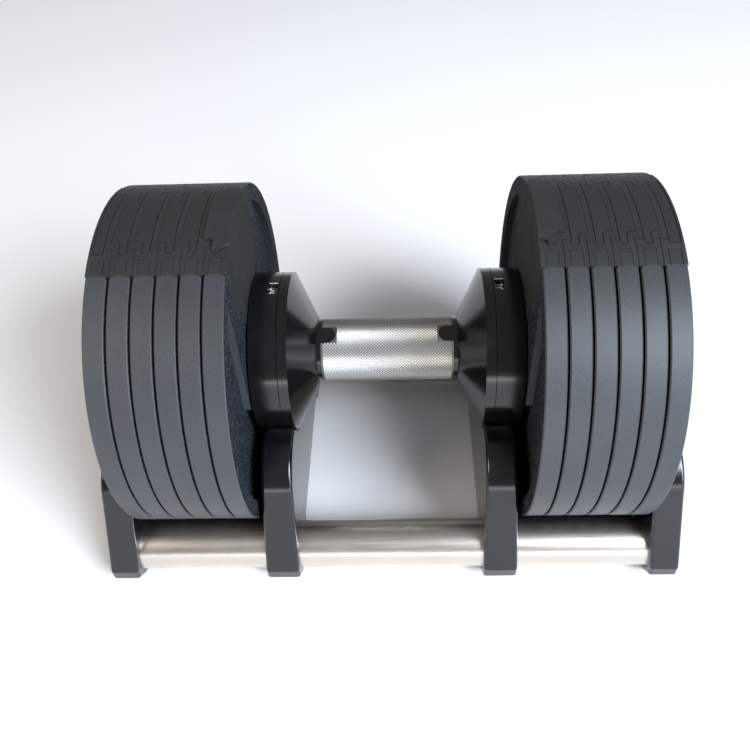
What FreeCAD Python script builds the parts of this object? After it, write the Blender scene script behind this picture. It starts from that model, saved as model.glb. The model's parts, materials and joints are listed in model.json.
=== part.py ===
import FreeCAD, Part
import Sketcher
import math
import os

# Adjustable dumbbell in its cradle.  X runs along the dumbbell's axis, the front of the cradle
# faces -Y, Z is up and the floor under the middle of the cradle is the origin.
# Dumbbell pieces are drawn about their own axis and lifted by axis_height when they are placed.

doc = FreeCAD.newDocument("AdjustableDumbbell")
sheet = doc.addObject("Spreadsheet::Sheet", "Sizes")

PLATES_PER_SIDE = 6
SETTINGS_PER_TURN = 8

# A plain number is free to change; a formula ties a size to the others it has to fit.
SIZES = {
    "axis_height": ("=rim_radius + 12", "dumbbell axis over the floor"),
    "rim_radius": (110, "outside of a weight plate"),
    "plate_pitch": (13, "from one plate to the next"),
    "plate_gap": (1.2, "air between two cast rims"),
    "stack_start": ("=housing_start + 17.8", "inner pitch plane of the first plate"),
    "rim_chamfer": (0.7, "edge break on the cast rims"),
    "rim_band": (11, "width of the raised rim on a plate's face"),
    "web_wall": (3.2, "thickness of a plate inside its rim"),
    "hub_radius": (30, "raised hub round a plate's bore"),
    "boss_half": (52, "half width of the solid sector round the dovetail"),
    "rod_radius": (9, "selector rod"),
    "rod_play": (0.35, "radial play of the rod in a plate"),
    "taper": (0.175, "narrowing of the dovetail for each millimetre down"),
    "wedge_floor": (24, "bottom of the dovetail over the axis"),
    "flange_floor": (62, "bottom of the outer flanges over the axis"),
    "joint_line": (0.42, "gap between two interlocked pieces"),
    "flange_gap": (0.3, "gap between the rails of neighbouring plates"),
    "slot_depth": (4.8, "depth of the female dovetail"),
    "tooth_depth": ("=plate_pitch - 3.95", "outer side of the slab's wide foot"),
    "slab_depth": ("=plate_pitch + 1.2", "outer side of the cast slab"),
    "neck_inner": (3.5, "inner side of the cast neck"),
    "neck_outer": ("=plate_pitch - 3", "outer side of the cast neck"),
    "hook_half": ("=rim_radius * taper + 3.05", "half width of the slab's narrow part at the rim"),
    "root_half": ("=hook_half + 4.3", "half width of the tongue's root at the rim"),
    "tip_half": ("=hook_half + 6.7", "half width of the tongue's tip at the rim"),
    "foot_half": ("=hook_half + 8.4", "half width of the slab's foot at the rim"),
    "bar_half": ("=hook_half + 12.1", "half width to the rail's cross bar at the rim"),
    "shoulder_half": ("=hook_half + 22.8", "half width to the cast shoulders at the rim"),
    "hook_round": (2, "rounding of the hook"),
    "end_skin": (1.6, "rail skin over the outermost slab"),
    "shoulder_flare": (2.9, "edge break of the shoulders"),
    "dial_radius": (52.2, "selector dial and end housing"),
    "dial_cone_start": ("=grip_half + 2.8", "small end of the dial's cone"),
    "dial_cone_end": ("=dial_cone_start + 14.9", "large end of the dial's cone"),
    "dial_end": ("=dial_cone_end + 6", "end of the dial's outer band"),
    "dial_web_end": ("=dial_end - 3", "inner face of the dial's web"),
    "dial_band": (3.2, "thickness of the dial's outer band"),
    "neck_radius": ("=grip_radius + 0.4", "dial neck beside the grip"),
    "housing_start": ("=dial_end + 0.4", "open edge of the end housing"),
    "housing_wall": (2.4, "rim wall of the end housing"),
    "housing_floor": (3, "end wall of the end housing"),
    "housing_back": (0.2, "from the housing's back to the first pitch plane"),
    "grip_radius": ("=cam_outer + 3.2", "outside of the grip sleeve"),
    "grip_half": (42.6, "half length of the grip sleeve"),
    "notch_depth": (9.5, "length of a notch in the grip's end"),
    "notch_width": (11.6, "width of a notch in the grip's end"),
    "notch_play": (0.1, "play of a dial dog in its notch"),
    "cam_outer": ("=cam_inner + 3.9", "outside of the cam tube"),
    "cam_inner": ("=core_outer + 0.1", "inside of the cam tube"),
    "cam_half": ("=ring_end + 1", "half length of the cam tube"),
    "core_outer": ("=core_inner + 3.9", "outside of the core tube"),
    "core_inner": ("=rod_radius + 0.1", "inside of the core tube"),
    "fit_play": (0.05, "radial play of a close fit"),
    "rod_end": ("=stack_start + 6 * plate_pitch - 3.3", "tip of the selector rod at the heaviest setting"),
    "rod_travel": ("=rod_end - stack_start + 0.3", "travel of a selector rod"),
    "rod_tail_start": ("=rod_travel - 10", "inner end of the rod's half round tail"),
    "rod_round_start": ("=rod_travel + 12", "where the rod becomes fully round"),
    "pin_place": ("=rod_travel - 6", "follower pin at the heaviest setting"),
    "pin_radius": (3, "follower pin"),
    "pin_play": (0.35, "play of the follower pin in its slots"),
    "pin_reach": ("=cam_outer - 0.5", "outer end of the follower pin"),
    "helix_lead": ("=rod_travel / 0.75", "advance of the cam slot in one turn"),
    "hub_outer": ("=cam_outer + 7", "dial hub that carries the detent dimples"),
    "hub_end": ("=ring_end - 1", "end of the dial hub and its dimples"),
    "ring_inner": ("=dial_radius - 12.2", "inside of the toothed lock ring"),
    "ring_outer": ("=dial_radius - 6.2", "outside of the toothed lock ring"),
    "ring_end": ("=number_end + 0.1", "end of the lock ring"),
    "ring_notch": (4.5, "depth of a notch in the lock ring"),
    "ring_notch_width": (7.2, "width of a notch in the lock ring"),
    "number_start": ("=dial_end + 0.2", "inner edge of the number ring"),
    "number_end": ("=number_start + 7.4", "outer edge of the number ring"),
    "number_outer": ("=dial_radius - 3", "outside of the number ring"),
    "window_start": ("=housing_start + 0.7", "inner edge of the number window"),
    "window_end": ("=window_start + 6", "outer edge of the number window"),
    "window_width": (8.8, "width of the number window round the housing"),
    "window_forward": (-1.9, "centre of the window in front of the top"),
    "pawl_start": ("=ring_end + 1.5", "inner face of the lock pawl's stem"),
    "pawl_end": ("=pawl_start + 4", "outer face of the lock pawl's stem"),
    "pawl_width": (8, "width of the lock pawl's stem"),
    "pawl_tooth_start": ("=housing_start + 1.3", "inner end of the pawl's tooth"),
    "pawl_tooth_width": (6, "width of the pawl's tooth"),
    "pawl_tooth_top": ("=ring_inner - 6", "top of the pawl's tooth under the axis"),
    "pawl_tooth_bottom": ("=ring_inner - 0.5", "bottom of the pawl's tooth under the axis"),
    "pawl_top": ("=ring_inner - 10", "top of the pawl under the axis"),
    "pawl_foot": ("=dial_radius + 3.8", "foot of the pawl under the axis"),
    "pawl_play": (0.3, "play round the pawl"),
    "detent_place": ("=housing_start + 3.3", "centre of the detent plunger"),
    "detent_radius": (2.97, "detent plunger"),
    "detent_bore": (3.05, "bore of the detent barrel"),
    "detent_lift": (0.3, "gap between the plunger and the plain hub"),
    "detent_top": ("=hub_outer + 7", "top of the detent plunger over the axis"),
    "barrel_low": ("=hub_outer + 3", "underside of the detent barrel over the axis"),
    "barrel_high": ("=ring_inner - 1.5", "top of the detent barrel over the axis"),
    "barrel_half": (5, "half width of the detent barrel"),
    "barrel_roof": ("=barrel_high - 1.5", "end of the detent bore over the axis"),
    "spring_wire": (0.5, "wire radius of the small springs"),
    "key_screw_radius": (2.5, "screw that holds the end key"),
    "key_screw_head": (4, "head of that screw"),
    "key_screw_y": (10, "key screw beside the middle"),
    "key_screw_z": (34, "key screw over the axis"),
    "key_screw_reach": (3.5, "how far that screw enters the key"),
    "key_proud": (2.2, "how far the key stands over the plates' rims"),
    "key_pad_top": (48, "top of the key's mounting pad over the axis"),
    "upright_start": ("=dial_end - 5.3", "inner face of the inner upright"),
    "upright_end": ("=stack_start - 0.3", "outer face of the inner upright at the floor"),
    "bracket_start": ("=stack_start + 6 * plate_pitch + 8.6", "inner face of the outer bracket at the floor"),
    "bracket_end": ("=bracket_start + 18.9", "outer face of the outer bracket at the floor"),
    "upright_draft": (0.04, "narrowing of the inner uprights for each millimetre up"),
    "bracket_lean": (0.075, "inward lean of the outer brackets for each millimetre up"),
    "screw_inset": (2, "from the bracket's outer face at the floor to the screw heads"),
    "side_bottom": (1.2, "underside of the side plates over the floor"),
    "arch_height": (14, "top of the arch between the feet"),
    "arch_half": ("=tube_place - 28", "half width of the arch's roof"),
    "arch_foot": ("=tube_place - 20", "inner end of the feet"),
    "tube_radius": (16, "cradle tube"),
    "tube_cover": ("=tube_radius + 6", "from a tube's centre to the front of the side plate"),
    "toe_reach": (10, "from a tube's centre to the front end of the underside"),
    "facet_drop": (9, "from a tube's centre down to the bevel above the toe"),
    "side_round": (2.4, "rounded edges of the side plates"),
    "tube_wall": (2, "wall of the cradle tube"),
    "tube_plug": (12, "closed end of the cradle tube"),
    "tube_place": ("=rim_radius - 24", "cradle tube in front of and behind the axis"),
    "tube_height": ("=tube_radius + 6", "cradle tube over the floor"),
    "socket_depth": (9, "how far a tube sits in the outer bracket"),
    "shoulder_y": ("=tube_place + 2", "where the side plate's front starts to round"),
    "shoulder_z": ("=horn_z - 25", "height of that point"),
    "horn_y": ("=saddle_half + 13", "outer side of the horn"),
    "horn_z": (
        "=axis_height - sqrt(pow(dial_radius + saddle_play; 2) - pow(saddle_half; 2)) + 0.4",
        "top of the horn",
    ),
    "horn_round": (32, "rounding of the horn"),
    "saddle_half": ("=dial_radius - 5.2", "half width of the saddle"),
    "saddle_play": (0.3, "play of the dumbbell in the cradle"),
    "screw_head_radius": (6, "head of a tube screw"),
    "screw_head_height": (3, "height of that head"),
    "screw_radius": (3, "shank of a tube screw"),
    "foot_radius": (7, "rubber foot"),
    "foot_place": ("=tube_place - 7", "rubber foot in front of and behind the axis"),
    "foot_recess": (1, "how deep a foot is let into its side plate"),
    "foot_height": (2.2, "height of a rubber foot"),
    "tray_half": (60, "half width of a plate tray"),
    "tray_bottom": (5, "underside of a plate tray"),
    "tray_rib": (1.1, "rib between two plates"),
    "tray_rib_height": (5.8, "height of that rib over the tray's bed"),
}

for row, (alias, (_, meaning)) in enumerate(SIZES.items(), start=1):
    sheet.set(f"A{row}", meaning)
    sheet.setAlias(f"B{row}", alias)
for row, (value, _) in enumerate(SIZES.values(), start=1):
    sheet.set(f"B{row}", str(value))
doc.recompute()


class Size:
    """A length known as a number and as the sheet expression that gives it."""

    def __init__(self, text, number):
        self.text = text
        self.number = number

    def join(self, sign, other, number):
        return Size(f"({self.text} {sign} {size(other).text})", number)

    def __add__(self, other):
        return self.join("+", other, self.number + size(other).number)

    def __sub__(self, other):
        return self.join("-", other, self.number - size(other).number)

    def __mul__(self, other):
        return self.join("*", other, self.number * size(other).number)

    def __truediv__(self, other):
        return self.join("/", other, self.number / size(other).number)

    def __radd__(self, other):
        return size(other) + self

    def __rsub__(self, other):
        return size(other) - self

    def __rmul__(self, other):
        return size(other) * self

    def __neg__(self):
        return size(0) - self


def size(value):
    """A plain number as a Size; a Size stays as it is."""
    return value if isinstance(value, Size) else Size(repr(value), value)


def root(value):
    return Size(f"sqrt({value.text})", math.sqrt(value.number))


class Sheet:
    """The driving sizes under their own names."""


s = Sheet()
for alias in SIZES:
    setattr(s, alias, Size(f"Sizes.{alias}", float(sheet.get(alias))))


# ---------------------------------------------------------------- drawing helpers

TURN_TO = {
    "X": FreeCAD.Rotation(FreeCAD.Vector(0, 1, 0), 90),
    "Y": FreeCAD.Rotation(FreeCAD.Vector(1, 0, 0), -90),
    "Z": FreeCAD.Rotation(),
}
ALONG_DUMBBELL = FreeCAD.Vector(1, 0, 0)
UPRIGHT = FreeCAD.Vector(0, 0, 1)


def bind(thing, path, value):
    thing.setExpression(path, size(value).text)


def move(thing, x=0, y=0, z=0):
    for letter, value in zip("xyz", (x, y, z)):
        bind(thing, f"Placement.Base.{letter}", value)
    return thing


def turned(name, source, axis, degrees):
    """A piece turned about an axis through the origin."""
    twin = doc.addObject("Part::Compound", name)
    twin.Links = [source]
    twin.Placement = FreeCAD.Placement(FreeCAD.Vector(), FreeCAD.Rotation(axis, degrees))
    return twin


def box(name, x, y, z):
    """A block between the low and high values of x, y and z."""
    block = doc.addObject("Part::Box", name)
    for side, (low, high) in zip(("Length", "Width", "Height"), (x, y, z)):
        bind(block, side, size(high) - low)
    return move(block, x[0], y[0], z[0])


def cylinder(name, axis, radius, low, high, first=0, second=0):
    """A round bar along axis; first and second are its centre in the other two directions."""
    bar = doc.addObject("Part::Cylinder", name)
    bar.Placement = FreeCAD.Placement(FreeCAD.Vector(), TURN_TO[axis])
    bind(bar, "Radius", radius)
    bind(bar, "Height", size(high) - low)
    centre = {"X": (low, first, second), "Y": (first, low, second), "Z": (first, second, low)}
    return move(bar, *centre[axis])


def cut(name, base, *tools):
    result = doc.addObject("Part::Cut", name)
    result.Base = base
    result.Tool = tools[0] if len(tools) == 1 else fuse(f"{name}_tools", *tools)
    return result


def fuse(name, *pieces):
    result = doc.addObject("Part::MultiFuse", name)
    result.Shapes = list(pieces)
    return result


def common(name, base, tool):
    result = doc.addObject("Part::Common", name)
    result.Base = base
    result.Tool = tool
    return result


def around(name, make, count, first=0):
    """Copies of a cutting tool spaced evenly about the dumbbell's axis."""
    copies = []
    for index in range(count):
        angle = first + index * 360 / count
        copies.append(turned(f"{name}_at_{index}", make(f"{name}_{index}"), ALONG_DUMBBELL, angle))
    return fuse(name, *copies)


def origin_plane(body, role):
    return next(plane for plane in body.Origin.OriginFeatures if plane.Role == role)


def new_body(name):
    return doc.addObject("PartDesign::Body", name)


def new_sketch(body, name, role, offset=0):
    """A sketch on one of the body's own planes, moved along that plane's normal."""
    drawing = body.newObject("Sketcher::SketchObject", name)
    drawing.AttachmentSupport = [(origin_plane(body, role), "")]
    drawing.MapMode = "FlatFace"
    bind(drawing, "AttachmentOffset.Base.z", offset)
    return drawing


def arc_edge(start, end, radius):
    """The short arc from start to end: counter-clockwise for a positive radius."""
    chord = end - start
    rise = math.sqrt(radius * radius - chord.Length * chord.Length / 4)
    left = FreeCAD.Vector(-chord.y, chord.x, 0).normalize()
    centre = (start + end) * 0.5 + left * math.copysign(rise, radius)
    first, last = (start, end) if radius > 0 else (end, start)
    circle = Part.Circle(centre, FreeCAD.Vector(0, 0, 1), abs(radius))
    angles = [math.atan2(point.y - centre.y, point.x - centre.x) for point in (first, last)]
    return Part.ArcOfCircle(circle, angles[0], angles[1])


def lock_corner(drawing, edge, place, corner):
    """Ties one corner to its two sizes, or to an axis where a size is nothing."""
    for kind, value, axis in (("DistanceX", corner[0], -2), ("DistanceY", corner[1], -1)):
        value = size(value)
        if abs(value.number) < 1e-9:
            drawing.addConstraint(Sketcher.Constraint("PointOnObject", edge, place, axis))
            continue
        rule = Sketcher.Constraint(kind, -1, 1, edge, place, value.number)
        bind(drawing, f"Constraints[{drawing.addConstraint(rule)}]", value)


def draw(drawing, corners):
    """A closed outline; a corner's third value is the radius of the arc that leaves it."""
    points = [FreeCAD.Vector(size(c[0]).number, size(c[1]).number, 0) for c in corners]
    ends = []
    for index, corner in enumerate(corners):
        start, end = points[index], points[(index + 1) % len(points)]
        if len(corner) == 3:
            radius = size(corner[2])
            edge = drawing.addGeometry(arc_edge(start, end, radius.number), False)
            ends.append((edge, 1, 2) if radius.number > 0 else (edge, 2, 1))
            outward = radius if radius.number > 0 else -radius
            rule = Sketcher.Constraint("Radius", edge, outward.number)
            bind(drawing, f"Constraints[{drawing.addConstraint(rule)}]", outward)
        else:
            edge = drawing.addGeometry(Part.LineSegment(start, end), False)
            ends.append((edge, 1, 2))
    for index, (edge, first, last) in enumerate(ends):
        following = ends[(index + 1) % len(ends)]
        rule = Sketcher.Constraint("Coincident", edge, last, following[0], following[1])
        drawing.addConstraint(rule)
        lock_corner(drawing, edge, first, corners[index])


def revolved(name, profile):
    """A body turned from an (x, radius) profile about the dumbbell's axis."""
    body = new_body(name)
    drawing = new_sketch(body, f"{name}_profile", "XZ_Plane")
    draw(drawing, profile)
    solid = body.newObject("PartDesign::Revolution", f"{name}_turned")
    solid.Profile = drawing
    solid.ReferenceAxis = (drawing, ["H_Axis"])
    solid.Angle = 360
    return body


def pad_along_x(body, name, outline, low, high):
    """Adds a slab between two X places to a body; its outline is given in Y and Z."""
    drawing = new_sketch(body, f"{name}_outline", "YZ_Plane", low)
    draw(drawing, outline)
    solid = body.newObject("PartDesign::Pad", f"{name}_pad")
    solid.Profile = drawing
    bind(solid, "Length", size(high) - low)
    return solid


def both_halves(half, flipped=1):
    """A closed outline from its half; the flipped coordinate changes sign in the other half."""
    back = []
    for index in range(len(half) - 1, -1, -1):
        point = [size(half[index][0]), size(half[index][1])]
        point[flipped] = -point[flipped]
        arc = half[index - 1][2:] if index > 0 else ()
        back.append((*point, *arc))
    return list(half) + back


def mirrored(name, source):
    """The opposite hand of a piece, across the middle of the dumbbell."""
    twin = doc.addObject("Part::Mirroring", name)
    twin.Source = source
    twin.Base = FreeCAD.Vector(0, 0, 0)
    twin.Normal = FreeCAD.Vector(1, 0, 0)
    return twin


# ---------------------------------------------------------------- dovetail sections

LOFT_TOP = s.rim_radius + 1
HALF_LINE = s.joint_line / 2


def at_height(half, height):
    """A rim section's half moved inwards by the dovetail's taper."""
    inwards = s.taper * (s.rim_radius - height)
    return both_halves([(point[0], point[1] - inwards, *point[2:]) for point in half])


def wedge(name, half, low, high=LOFT_TOP):
    """A dovetail solid: the rim section given by its half, tapered between two heights."""
    body = new_body(name)
    sections = []
    for level, height in (("low", low), ("high", high)):
        drawing = new_sketch(body, f"{name}_{level}", "XY_Plane", height)
        draw(drawing, at_height(half, height))
        sections.append(drawing)
    loft = body.newObject("PartDesign::AdditiveLoft", f"{name}_loft")
    loft.Profile = sections[0]
    loft.Sections = [sections[1]]
    loft.Ruled = True
    return body


def block_half(inner, outer, half_width):
    return [(inner, half_width), (outer, half_width)]


def slab_half(outer):
    """The cast slab: a wide foot on its inner side and a narrow part beyond it."""
    round_out = s.hook_round + s.joint_line
    foot_side = s.tooth_depth - HALF_LINE
    hook_top = s.hook_half - HALF_LINE
    return [
        (s.slot_depth + HALF_LINE, s.foot_half - HALF_LINE),
        (foot_side, s.foot_half - HALF_LINE),
        (foot_side, hook_top + round_out, round_out),
        (foot_side + round_out, hook_top),
        (outer, hook_top),
    ]


def rail_half(with_tongue):
    """The moulded rail: female dovetail, hook, cross bar, flanges and the male tongue."""
    hook_side = s.tooth_depth + HALF_LINE
    hook_top = s.hook_half + HALF_LINE
    foot_end = s.foot_half + HALF_LINE
    flange_end = s.shoulder_half - HALF_LINE
    bar_end = s.bar_half - HALF_LINE
    inner_face = s.flange_gap / 2
    outer_face = s.plate_pitch - s.flange_gap / 2
    tongue_tip = s.plate_pitch + s.slot_depth - HALF_LINE
    if with_tongue:
        hook = [
            (s.slab_depth + HALF_LINE, hook_top),
            (hook_side + s.hook_round, hook_top, -s.hook_round),
            (hook_side, hook_top + s.hook_round),
            (hook_side, foot_end),
        ]
        end = [(outer_face, s.root_half - HALF_LINE), (tongue_tip, s.tip_half - HALF_LINE)]
    else:
        hook = [(outer_face - s.end_skin, foot_end)]
        end = []
    return hook + [
        (s.slot_depth, foot_end),
        (s.slot_depth, s.tip_half + HALF_LINE),
        (inner_face, s.root_half + HALF_LINE),
        (inner_face, flange_end),
        (s.neck_inner - HALF_LINE, flange_end),
        (s.neck_inner - HALF_LINE, bar_end),
        (s.neck_outer + HALF_LINE, bar_end),
        (s.neck_outer + HALF_LINE, flange_end),
        (outer_face, flange_end),
    ] + end


# ---------------------------------------------------------------- weight plates

def rim_bar(name):
    """The round envelope of a plate and everything let into it."""
    return cylinder(name, "X", s.rim_radius, -1, s.plate_pitch + s.slot_depth + 1)


def face_pocket(name, low, high):
    """The dished ring of one face, left solid in the sector round the dovetail."""
    ring = cylinder(f"{name}_ring", "X", s.rim_radius - s.rim_band, low, high)
    hub = cylinder(f"{name}_hub", "X", s.hub_radius, low, high)
    sector = box(f"{name}_sector", (low, high), (-s.boss_half, s.boss_half), (0, s.rim_radius))
    return cut(name, ring, hub, sector)


def plate_blank(name):
    """The turned disc with its bore, its chamfered rim and two dished faces."""
    inner = s.plate_gap / 2
    outer = s.plate_pitch - s.plate_gap / 2
    bore = s.rod_radius + s.rod_play
    edge = s.rim_radius - s.rim_chamfer
    disc = revolved(f"{name}_disc", [
        (inner, bore),
        (inner, edge),
        (inner + s.rim_chamfer, s.rim_radius),
        (outer - s.rim_chamfer, s.rim_radius),
        (outer, edge),
        (outer, bore),
    ])
    depth = (s.plate_pitch - s.web_wall) / 2
    near = face_pocket(f"{name}_near", 0, depth)
    far = face_pocket(f"{name}_far", s.plate_pitch - depth, s.plate_pitch)
    return cut(f"{name}_blank", disc, near, far)


def rail_cavity(name):
    """The room for the moulded rail: narrow at the bottom, wide above the flange floor."""
    wide = [
        (-1, s.shoulder_half + s.shoulder_flare),
        (s.shoulder_flare - 1, s.shoulder_half),
        (s.plate_pitch + 1 - s.shoulder_flare, s.shoulder_half),
        (s.plate_pitch + 1, s.shoulder_half + s.shoulder_flare),
    ]
    narrow = block_half(-1, s.plate_pitch + 1, s.bar_half)
    return (
        wedge(f"{name}_narrow", narrow, s.wedge_floor),
        wedge(f"{name}_wide", wide, s.flange_floor),
    )


def plate_necks(name):
    """The two cast tongues between the rail's flanges."""
    wide = block_half(s.neck_inner, s.neck_outer, s.shoulder_half + 1)
    narrow = block_half(s.neck_inner - 1, s.neck_outer + 1, s.bar_half + HALF_LINE)
    low = s.flange_floor - 1
    return cut(name, wedge(f"{name}_wide", wide, low), wedge(f"{name}_narrow", narrow, low))


def plate_slab(name, section, root_outer):
    """The cast slab in the rail, with its root on the hub."""
    inner = s.slot_depth + HALF_LINE
    root_block = block_half(inner, root_outer, s.hook_half - 1)
    foot = wedge(f"{name}_foot", root_block, s.wedge_floor - 1, s.wedge_floor + 2)
    return fuse(name, foot, wedge(f"{name}_body", section, s.wedge_floor + s.flange_gap))


def plate_master(name, *slabs):
    """A finished casting; the first plate has no slab, because the handle's key takes its place."""
    standing = plate_necks(f"{name}_necks")
    if slabs:
        standing = fuse(f"{name}_standing", standing, *slabs)
    proud = common(f"{name}_trimmed", standing, rim_bar(f"{name}_rim"))
    return fuse(name, cut(f"{name}_open", plate_blank(name), *rail_cavity(f"{name}_cavity")), proud)


def rail_master(name, with_tongue):
    low = s.wedge_floor + s.flange_gap
    whole = wedge(f"{name}_whole", rail_half(with_tongue), low)
    beside = block_half(-1, s.plate_pitch + s.slot_depth + 1, s.shoulder_half + 1)
    between = block_half(-2, s.plate_pitch + s.slot_depth + 2, s.bar_half - HALF_LINE)
    top = s.flange_floor + s.flange_gap
    flanges = cut(f"{name}_below", wedge(f"{name}_beside", beside, low - 1, top),
                  wedge(f"{name}_between", between, low - 2, top + 1))
    return common(name, cut(f"{name}_cut", whole, flanges), rim_bar(f"{name}_rim"))


def placed_copy(name, master, x):
    """A plate piece at its own place in the right-hand stack."""
    copy = doc.addObject("Part::Compound", name)
    copy.Links = [master]
    return move(copy, x, 0, s.axis_height)


def weight_plates():
    disc_face = s.plate_pitch - s.plate_gap / 2
    end_face = s.plate_pitch - s.flange_gap / 2 - s.end_skin - s.joint_line
    inner_slab = slab_half(s.slab_depth)
    end_slab = block_half(s.slot_depth + HALF_LINE, end_face, s.foot_half - HALF_LINE)
    inner_cast = plate_master("cast_inner", plate_slab("slab_inner", inner_slab, disc_face))
    end_cast = plate_master("cast_end", plate_slab("slab_end", end_slab, end_face))
    inner_rail = rail_master("rail_inner", True)
    casts = [plate_master("cast_first")] + [inner_cast] * (PLATES_PER_SIDE - 2) + [end_cast]
    rails = [inner_rail] * (PLATES_PER_SIDE - 1) + [rail_master("rail_end", False)]
    pieces = {}
    for index, (cast, rail) in enumerate(zip(casts, rails)):
        x = s.stack_start + s.plate_pitch * index
        for kind, master in (("plate", cast), ("rail", rail)):
            right = placed_copy(f"{kind}_right_{index + 1}", master, x)
            pieces[f"{kind}_right_{index + 1}"] = right
            pieces[f"{kind}_left_{index + 1}"] = mirrored(f"{kind}_left_{index + 1}", right)
    return pieces


# ---------------------------------------------------------------- handle

HOUSING_BACK = s.stack_start - s.housing_back
HOUSING_INNER_WALL = HOUSING_BACK - s.housing_floor
PIN_SLOT = s.pin_radius + s.pin_play
PIN_RETRACTED = s.pin_place - s.rod_travel


def pair(name, right):
    """A right-hand piece lifted to the dumbbell's axis, and its mirror image."""
    move(right, 0, 0, s.axis_height)
    return {f"{name}_right": right, f"{name}_left": mirrored(f"{name}_left", right)}


def housing():
    """The fixed end cup with its number window, pawl slot and detent barrel."""
    inside = s.dial_radius - s.housing_wall
    bore = s.core_outer + s.fit_play
    cup = revolved("housing_cup", [
        (s.housing_start, inside),
        (s.housing_start, s.dial_radius),
        (HOUSING_BACK - s.rim_chamfer, s.dial_radius),
        (HOUSING_BACK, s.dial_radius - s.rim_chamfer),
        (HOUSING_BACK, bore),
        (HOUSING_INNER_WALL, bore),
        (HOUSING_INNER_WALL, inside),
    ])
    barrel = box("detent_barrel", (s.housing_start + s.fit_play, HOUSING_INNER_WALL + 1),
                 (-s.barrel_half, s.barrel_half), (s.barrel_low, s.barrel_high))
    bore_tool = cylinder("detent_hole", "Z", s.detent_bore, s.barrel_low - 1, s.barrel_roof,
                         s.detent_place, 0)
    half_window = s.window_width / 2
    window = box("number_window", (s.window_start, s.window_end),
                 (-s.window_forward - half_window, half_window - s.window_forward),
                 (s.number_outer - 8, s.dial_radius + 1))
    slot = box("pawl_slot", (s.pawl_start - s.pawl_play, s.pawl_end + s.pawl_play),
               (-s.pawl_width / 2 - s.pawl_play, s.pawl_width / 2 + s.pawl_play),
               (-s.dial_radius - 1, -inside + 2))
    screws = [cylinder(f"housing_screw_hole_{side}", "X", s.key_screw_radius + s.fit_play,
                       HOUSING_INNER_WALL - 1, HOUSING_BACK + 1, s.key_screw_y * side, s.key_screw_z)
              for side in (-1, 1)]
    return cut("end_housing_right", fuse("housing_body", cup, barrel), bore_tool, window, slot, *screws)


def end_key():
    """The wedge that carries the first plate: a tongue in its female dovetail and a slab in its rail."""
    low = s.wedge_floor + s.flange_gap
    near = s.stack_start + s.flange_gap / 2
    tongue = [
        (near, s.root_half - HALF_LINE),
        (s.stack_start + s.slot_depth - HALF_LINE, s.tip_half - HALF_LINE),
        (s.stack_start + s.slot_depth + HALF_LINE, s.tip_half - HALF_LINE),
    ]
    slab = [(s.stack_start + point[0], *point[1:]) for point in slab_half(s.slab_depth)]
    blade = wedge("key_blade", tongue + slab, low, s.rim_radius + s.key_proud + 1)
    pad = wedge("key_pad", block_half(HOUSING_BACK, near + 1, s.hook_half), low, s.key_pad_top)
    envelope = cylinder("key_envelope", "X", s.rim_radius + s.key_proud, HOUSING_BACK,
                        s.stack_start + s.slab_depth + 1)
    trimmed = common("key_trimmed", fuse("key_body", blade, pad), envelope)
    screws = [cylinder(f"key_screw_hole_{side}", "X", s.key_screw_radius + s.fit_play,
                       HOUSING_BACK - 1, HOUSING_BACK + s.key_screw_reach + s.fit_play,
                       s.key_screw_y * side, s.key_screw_z)
              for side in (-1, 1)]
    return cut("end_key_right", trimmed, *screws)


def key_screws():
    """Four screws that hold the two end keys on the housings."""
    screws = []
    for side in (-1, 1):
        y = s.key_screw_y * side
        head = cylinder(f"key_screw_cap_{side}", "X", s.key_screw_head,
                        HOUSING_INNER_WALL - 2, HOUSING_INNER_WALL, y, s.key_screw_z)
        shank = cylinder(f"key_screw_shank_{side}", "X", s.key_screw_radius,
                         HOUSING_INNER_WALL - 1, HOUSING_BACK + s.key_screw_reach, y, s.key_screw_z)
        screws.append(fuse(f"key_screw_{side}", head, shank))
    right = doc.addObject("Part::Compound", "key_screws_right")
    right.Links = screws
    left = mirrored("key_screws_left", right)
    both = doc.addObject("Part::Compound", "key_screws")
    both.Links = [right, left]
    return {"key_screws": move(both, 0, 0, s.axis_height)}


def core_tube():
    """The fixed tube between the end housings, slotted behind and in front for the pins."""
    half = HOUSING_BACK - s.fit_play
    wall = cylinder("core_wall", "X", s.core_outer, -half, half)
    bore = cylinder("core_bore", "X", s.core_inner, -half - 1, half + 1)
    reach = s.core_outer + 1
    back = box("core_back_slot", (PIN_RETRACTED - PIN_SLOT, s.pin_place + PIN_SLOT),
               (0, reach), (-PIN_SLOT, PIN_SLOT))
    front = box("core_front_slot", (-s.pin_place - PIN_SLOT, -PIN_RETRACTED + PIN_SLOT),
                (-reach, 0), (-PIN_SLOT, PIN_SLOT))
    return {"core_tube": move(cut("core_tube", wall, bore, back, front), 0, 0, s.axis_height)}


# ---------------------------------------------------------------- turning grip

def notch_shape(name, play, low, high):
    """A round-ended block that enters the grip's end from the dial's side."""
    half = s.notch_width / 2 - play
    bend = s.grip_half - s.notch_depth + s.notch_width / 2
    straight = box(f"{name}_straight", (bend, s.grip_half + 1), (-half, half), (low, high))
    rounded = cylinder(f"{name}_round", "Z", half, low, high, bend, 0)
    return fuse(name, straight, rounded)


NOTCH_ANGLE = 16


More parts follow.
